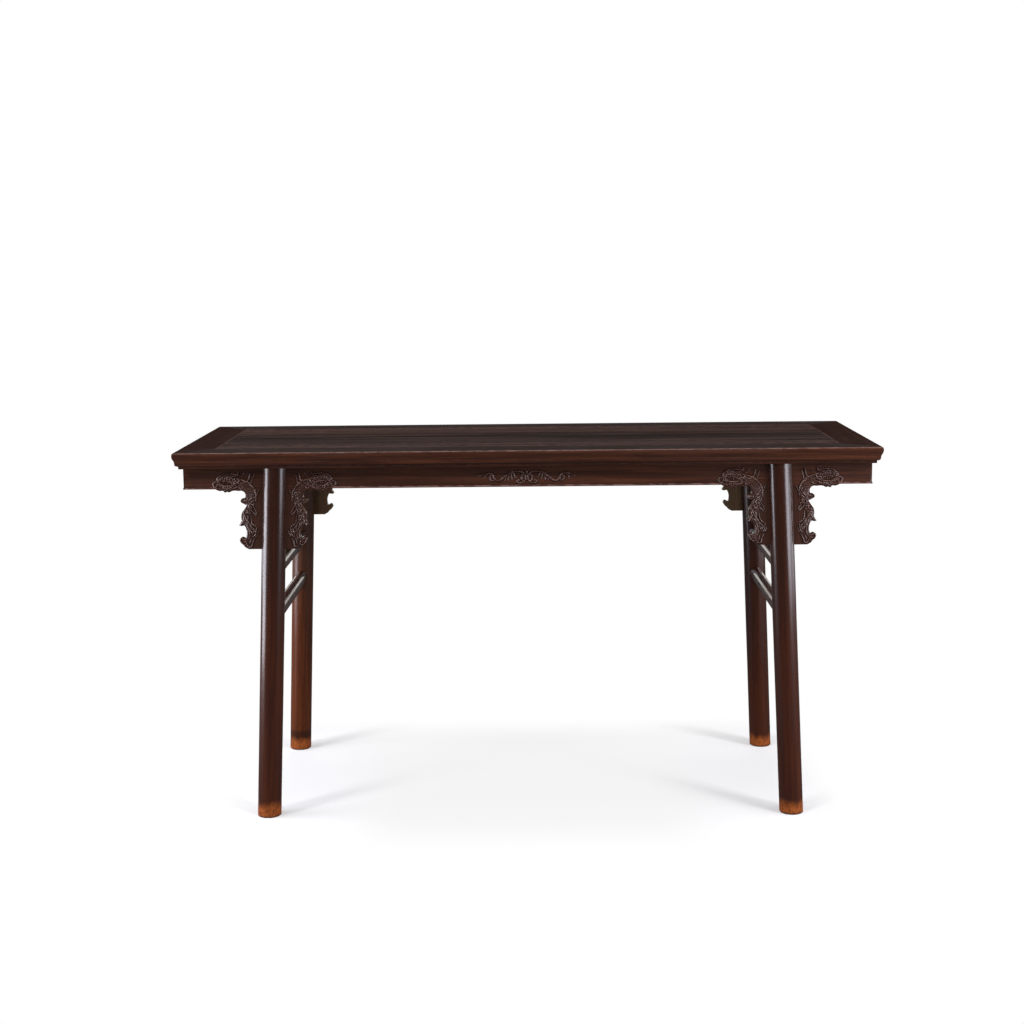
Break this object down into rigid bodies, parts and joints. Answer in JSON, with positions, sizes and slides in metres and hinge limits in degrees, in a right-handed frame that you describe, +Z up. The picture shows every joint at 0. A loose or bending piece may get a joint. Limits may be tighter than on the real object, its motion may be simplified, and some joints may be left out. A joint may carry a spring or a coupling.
{
  "type": "altar table",
  "caption": "Long recessed-leg table with round splayed legs, paired oval side stretchers, a mitred moulded frame with a flush floating panel, plain aprons and carved scroll spandrels.",
  "frame": {"origin": "centre of the table's footprint, on the floor", "axes": "+X along the table's length, +Y from the front (the pictured side) to the back, +Z up"},
  "size_m": [1.53, 0.5484, 0.82],
  "materials": {
    "frame": "wax-polished dark hardwood, moulded on the long-grain edge",
    "panel": "wax-polished dark hardwood, worn matt and greyish on the table surface",
    "brace": "planed hardwood, unpolished underside",
    "leg": "wax-polished dark hardwood, worn lighter at the feet",
    "stretcher": "wax-polished dark hardwood",
    "apron": "wax-polished dark hardwood",
    "spandrel": "wax-polished dark hardwood, carved in low relief on the outer face"
  },
  "bodies": {
    "root": {"top_rail_front": "frame", "top_rail_rear": "frame", "top_rail_left": "frame", "top_rail_right": "frame", "panel_board_front": "panel", "panel_board_rear": "panel", "cross_brace_1": "brace", "cross_brace_2": "brace", "cross_brace_3": "brace", "cross_brace_4": "brace", "leg_front_left": "leg", "leg_front_right": "leg", "leg_rear_left": "leg", "leg_rear_right": "leg", "stretcher_upper_left": "stretcher", "stretcher_upper_right": "stretcher", "stretcher_lower_left": "stretcher", "stretcher_lower_right": "stretcher", "apron_front": "apron", "apron_rear": "apron", "apron_left": "apron", "apron_right": "apron", "spandrel_front_left": "spandrel", "spandrel_front_right": "spandrel", "spandrel_rear_left": "spandrel", "spandrel_rear_right": "spandrel"}
  },
  "joints": []
}
